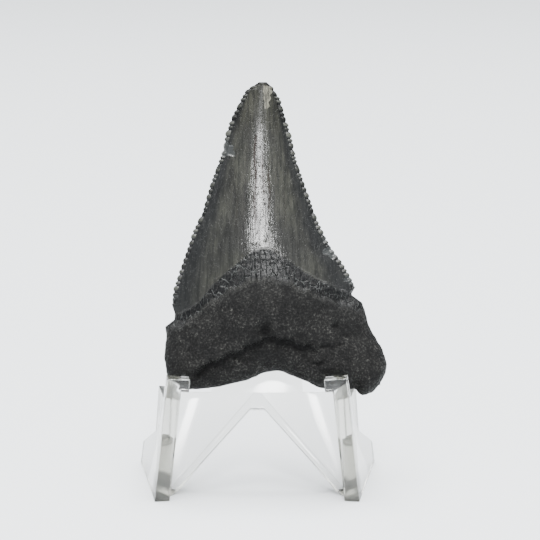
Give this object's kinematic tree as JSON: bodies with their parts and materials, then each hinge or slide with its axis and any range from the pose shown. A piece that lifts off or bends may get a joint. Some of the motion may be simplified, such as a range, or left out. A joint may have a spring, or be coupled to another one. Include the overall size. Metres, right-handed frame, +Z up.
{
  "type": "megalodon tooth on a stand",
  "caption": "Dark fossil shark tooth, a serrated triangular crown on a heavy rough root, resting in a small clear hooked stand.",
  "frame": {"origin": "on the surface it stands on, under the middle of the whole object's box", "axes": "+Z up, +X to the viewer's right across the tooth's width, +Y from the hooks towards the back feet"},
  "size_m": [0.043, 0.0268, 0.0672],
  "materials": {
    "fossil": "polished grey-brown crown, rough black root",
    "clear_acrylic": "clear moulded acrylic"
  },
  "bodies": {
    "root": {"tooth": "fossil", "stand": "clear_acrylic"}
  },
  "joints": []
}
